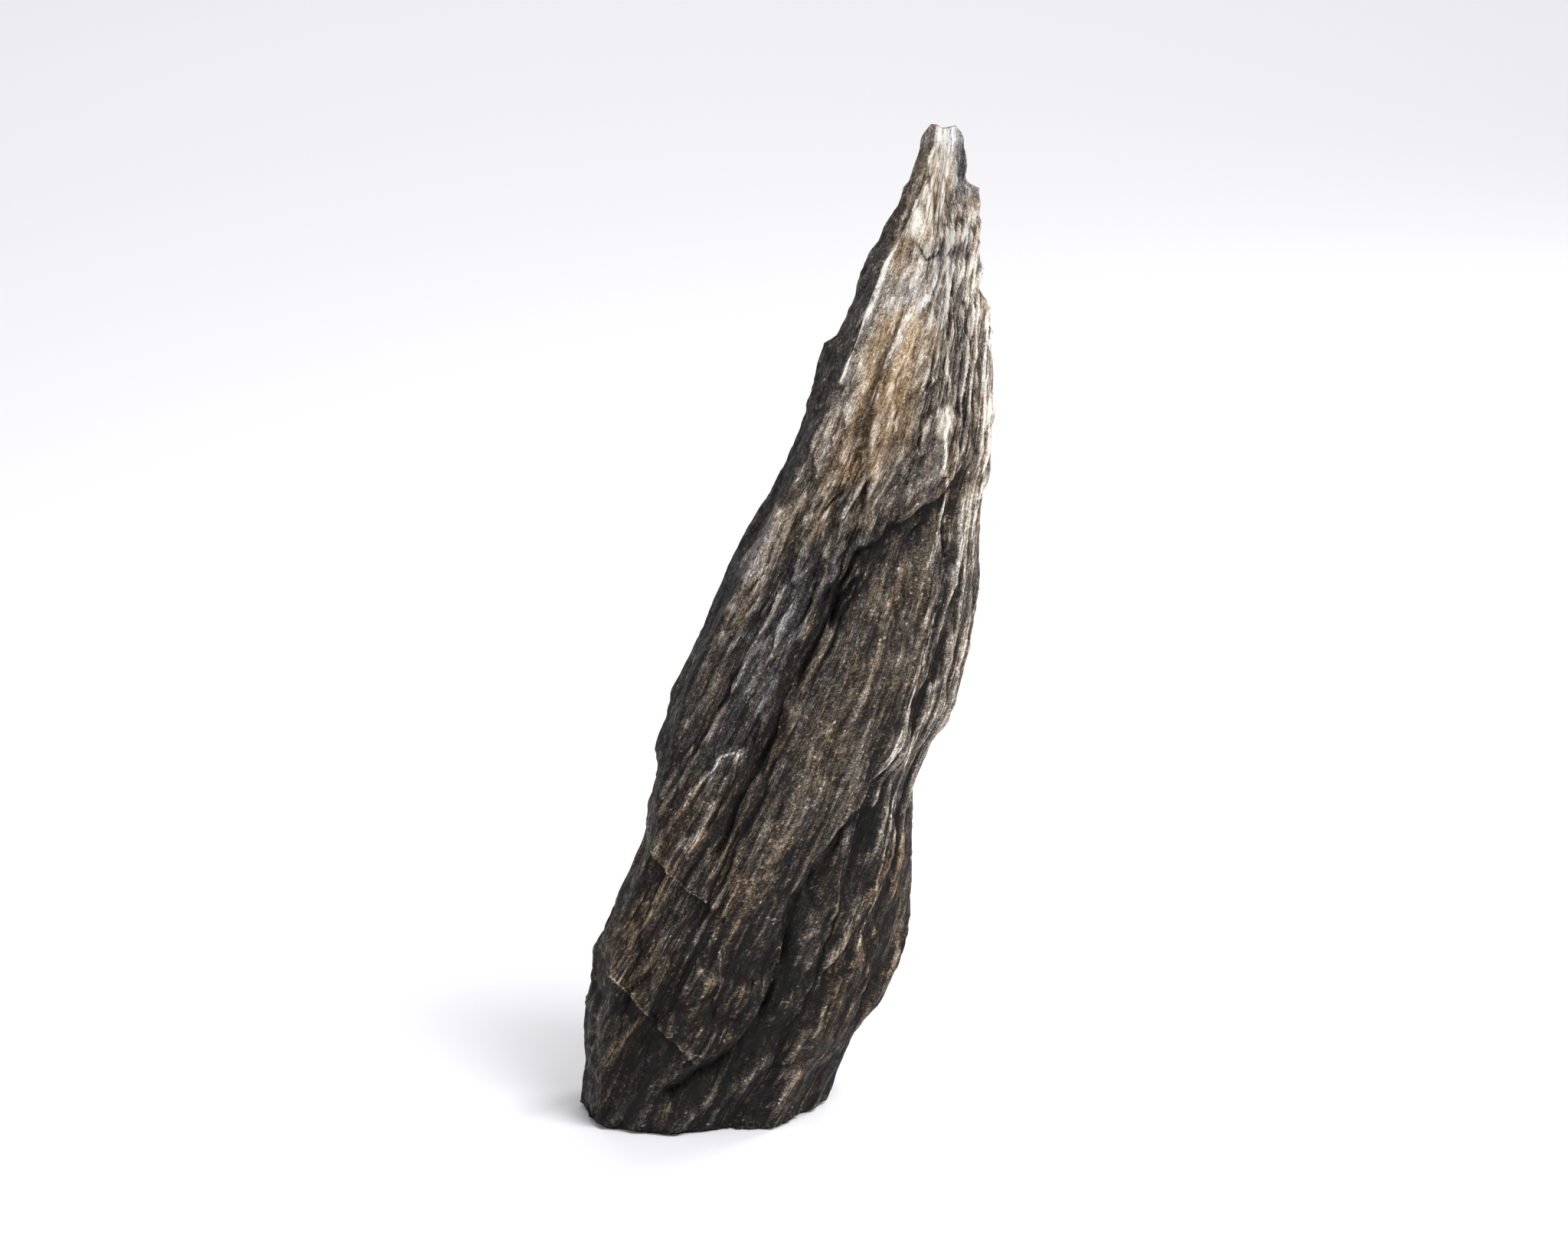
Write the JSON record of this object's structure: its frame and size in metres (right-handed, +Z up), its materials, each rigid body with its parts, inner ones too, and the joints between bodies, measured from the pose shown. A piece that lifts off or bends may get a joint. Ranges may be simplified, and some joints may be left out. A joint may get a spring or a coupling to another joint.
{
  "type": "aquarium stone",
  "caption": "Tall leaning spire of layered mica schist for aquascaping, with a flat broken foot that it stands on.",
  "frame": {"origin": "middle of the bounding box, on the surface that the foot rests on", "axes": "+Z up towards the tip, -Y towards the viewer of the pictured face, +X to that viewer's right, the way the spire leans"},
  "size_m": [0.1251, 0.0669, 0.3002],
  "materials": {
    "schist": "rough layered, with a mica sheen"
  },
  "bodies": {
    "root": {"stone": "schist"}
  },
  "joints": []
}
